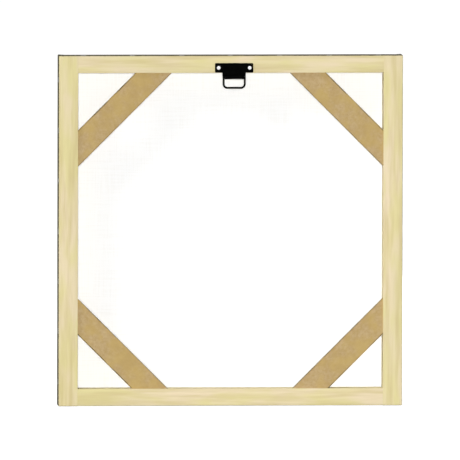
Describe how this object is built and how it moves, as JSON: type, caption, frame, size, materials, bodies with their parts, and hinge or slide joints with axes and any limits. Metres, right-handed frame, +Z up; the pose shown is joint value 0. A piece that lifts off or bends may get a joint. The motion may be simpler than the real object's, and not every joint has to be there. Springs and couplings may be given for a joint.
{
  "type": "stretched canvas",
  "caption": "Primed canvas stapled round a pine stretcher frame with fibreboard corner braces and a strap hanger with a swinging wire bail.",
  "frame": {"origin": "centre of the bottom edge, on the underside of the cloth, midway through the depth of the bars", "axes": "+Z up the canvas, +Y out of the painted front, -Y out of the back where it hangs; +X is to the right of someone looking at the back"},
  "size_m": [0.6016, 0.045, 0.6121],
  "materials": {
    "primed_canvas": "matt white primer on a plain weave",
    "pine": "planed, unfinished pine",
    "fibreboard": "raw medium-density fibreboard",
    "black_steel": "satin black",
    "zinc": "bright zinc plate",
    "staple_wire": "bright galvanised wire",
    "nail_steel": "plain bright steel"
  },
  "bodies": {
    "frame": {"canvas": "primed_canvas", "stile_left": "pine", "stile_right": "pine", "rail_top": "pine", "rail_bottom": "pine", "brace_top_left": "fibreboard", "brace_top_right": "fibreboard", "brace_bottom_left": "fibreboard", "brace_bottom_right": "fibreboard", "corner_nail_top_left_1": "nail_steel", "corner_nail_top_left_2": "nail_steel", "corner_nail_top_right_1": "nail_steel", "corner_nail_top_right_2": "nail_steel", "corner_nail_bottom_left_1": "nail_steel", "corner_nail_bottom_left_2": "nail_steel", "corner_nail_bottom_right_1": "nail_steel", "corner_nail_bottom_right_2": "nail_steel", "canvas_staple_top_1": "staple_wire", "canvas_staple_top_2": "staple_wire", "canvas_staple_top_3": "staple_wire", "canvas_staple_top_4": "staple_wire", "canvas_staple_top_5": "staple_wire", "canvas_staple_top_6": "staple_wire", "canvas_staple_top_7": "staple_wire", "canvas_staple_bottom_1": "staple_wire", "canvas_staple_bottom_2": "staple_wire", "canvas_staple_bottom_3": "staple_wire", "canvas_staple_bottom_4": "staple_wire", "canvas_staple_bottom_5": "staple_wire", "canvas_staple_bottom_6": "staple_wire", "canvas_staple_bottom_7": "staple_wire", "canvas_staple_left_1": "staple_wire", "canvas_staple_left_2": "staple_wire", "canvas_staple_left_3": "staple_wire", "canvas_staple_left_4": "staple_wire", "canvas_staple_left_5": "staple_wire", "canvas_staple_left_6": "staple_wire", "canvas_staple_left_7": "staple_wire", "canvas_staple_right_1": "staple_wire", "canvas_staple_right_2": "staple_wire", "canvas_staple_right_3": "staple_wire", "canvas_staple_right_4": "staple_wire", "canvas_staple_right_5": "staple_wire", "canvas_staple_right_6": "staple_wire", "canvas_staple_right_7": "staple_wire", "hanger_plate": "black_steel", "hanger_screw_left": "zinc", "hanger_screw_right": "zinc"},
    "bail": {"hanger_bail": "black_steel"}
  },
  "joints": [
    {"name": "bail_swing", "type": "hinge", "parent": "frame", "child": "bail", "pos_m": [0.0053, -0.02225, 0.5745], "axis": [-1, 0, 0], "range_deg": [-45, 178]}
  ]
}
